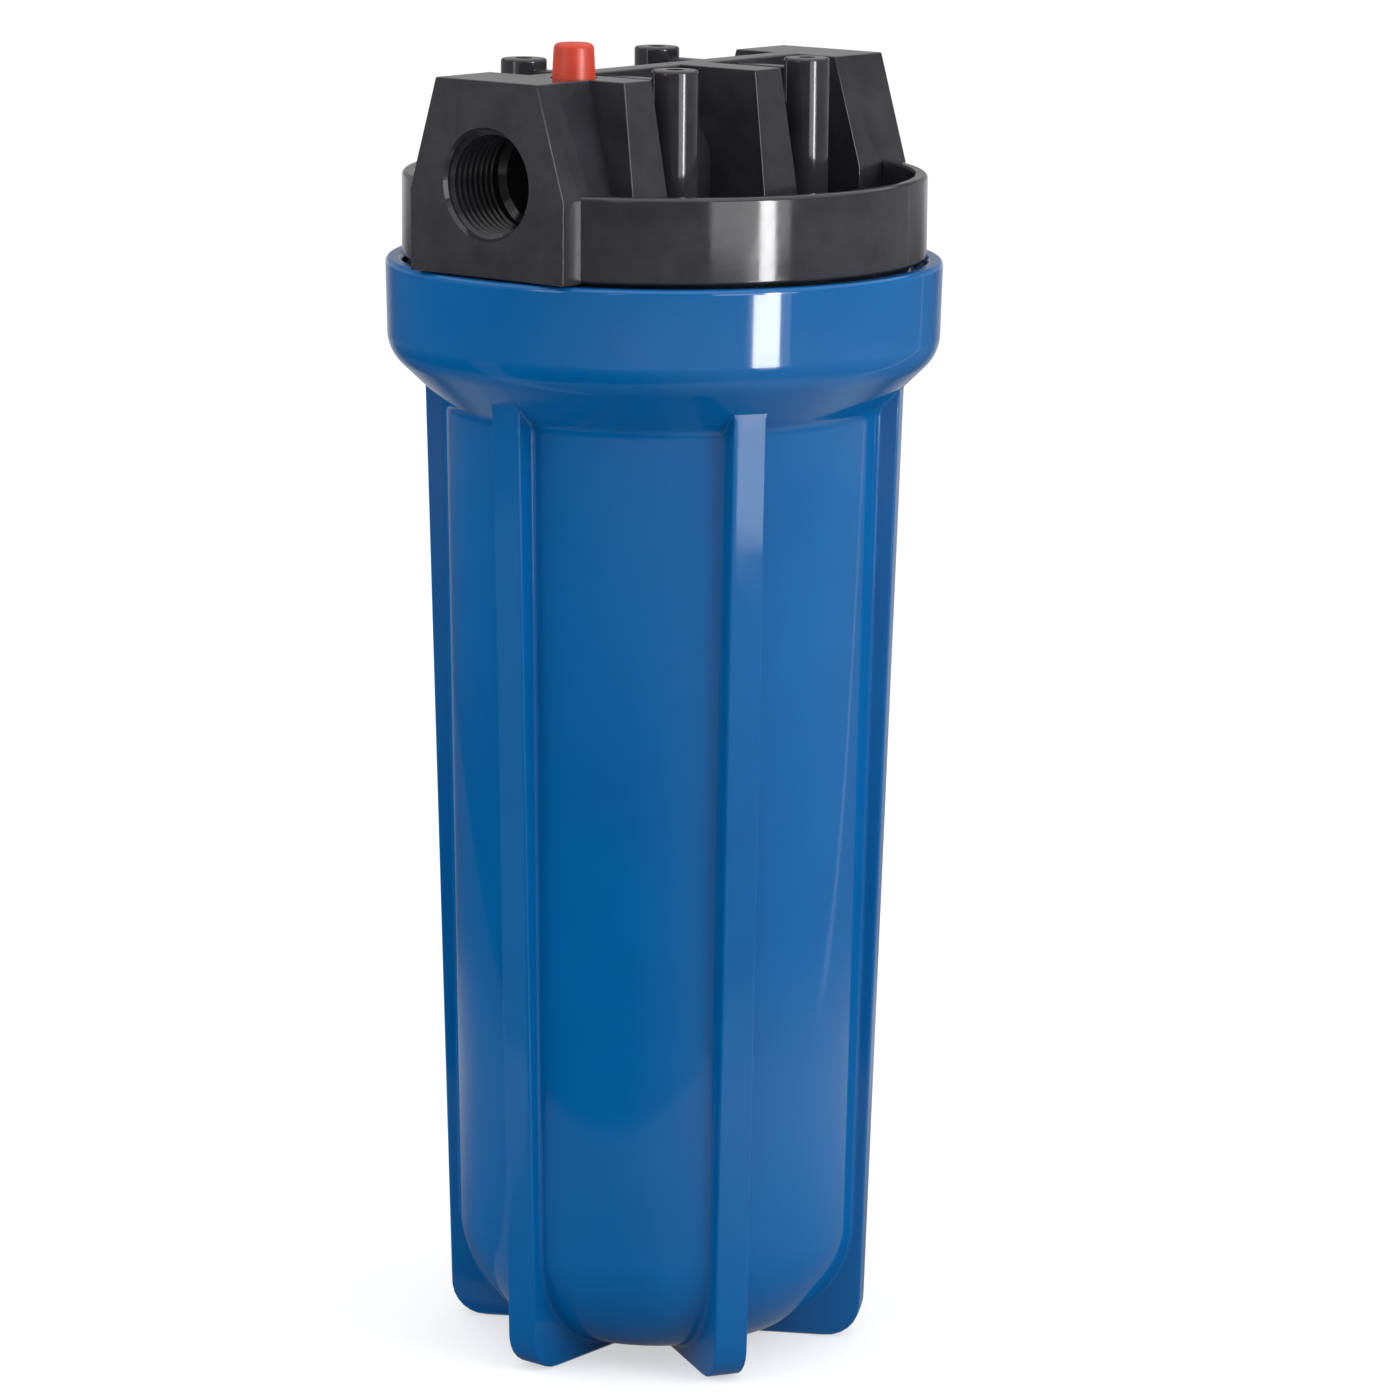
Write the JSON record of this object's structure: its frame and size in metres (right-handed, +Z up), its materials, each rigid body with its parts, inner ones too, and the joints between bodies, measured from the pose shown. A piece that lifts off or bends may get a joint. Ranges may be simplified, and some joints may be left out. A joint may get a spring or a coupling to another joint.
{
  "type": "cartridge filter housing",
  "caption": "Water filter housing: a ribbed sump on feet, a screwed cap with two side ports, bracket bosses and a pressure relief button, and a pleated cartridge inside.",
  "frame": {"origin": "on the housing's axis, in the plane that the six feet stand on", "axes": "+Z up along the housing's axis; X runs through the two ports, with the inlet at -X and the outlet at +X; -Y is the side with the two lobes"},
  "size_m": [0.1298, 0.1298, 0.3123],
  "materials": {
    "blue_plastic": "glossy moulded polypropylene",
    "black_plastic": "satin moulded polypropylene",
    "red_plastic": "satin moulded",
    "white_plastic": "satin moulded",
    "black_rubber": "smooth moulded",
    "grey_rubber": "die cut",
    "pleated_media": "nonwoven sheet, pleated",
    "spring_steel": "drawn stainless wire"
  },
  "bodies": {
    "sump": {"sump": "blue_plastic"},
    "cartridge": {"cartridge_core": "white_plastic", "cartridge_pleats": "pleated_media", "cartridge_bottom_end_cap": "white_plastic", "cartridge_top_end_cap": "white_plastic", "cartridge_bottom_gasket": "grey_rubber", "cartridge_top_gasket": "grey_rubber"},
    "o_ring": {"main_o_ring": "black_rubber"},
    "cap": {"cap_body": "black_plastic", "relief_spring": "spring_steel"},
    "relief_valve": {"relief_button": "red_plastic", "relief_stem": "white_plastic", "relief_o_ring": "black_rubber"}
  },
  "joints": [
    {"name": "cartridge_lift", "type": "slide", "parent": "sump", "child": "cartridge", "axis": [0, 0, 1], "range_m": [0, 0.262]},
    {"name": "cap_turn", "type": "hinge", "parent": "cartridge", "child": "o_ring", "pos_m": [0, 0, 0.25], "axis": [0, 0, 1], "range_deg": [0, 1260]},
    {"name": "cap_rise", "type": "slide", "parent": "o_ring", "child": "cap", "axis": [0, 0, 1], "range_m": [0, 0.0223]},
    {"name": "relief_press", "type": "slide", "parent": "cap", "child": "relief_valve", "axis": [0, 0, -1], "range_m": [0, 0.003], "stiffness_N_per_m": 800, "springref_m": -0.004, "deforming": ["relief_spring"]}
  ],
  "couplings": [
    {"joint": "cap_rise", "follows": "cap_turn", "m_per_rad": 0.0010106}
  ]
}
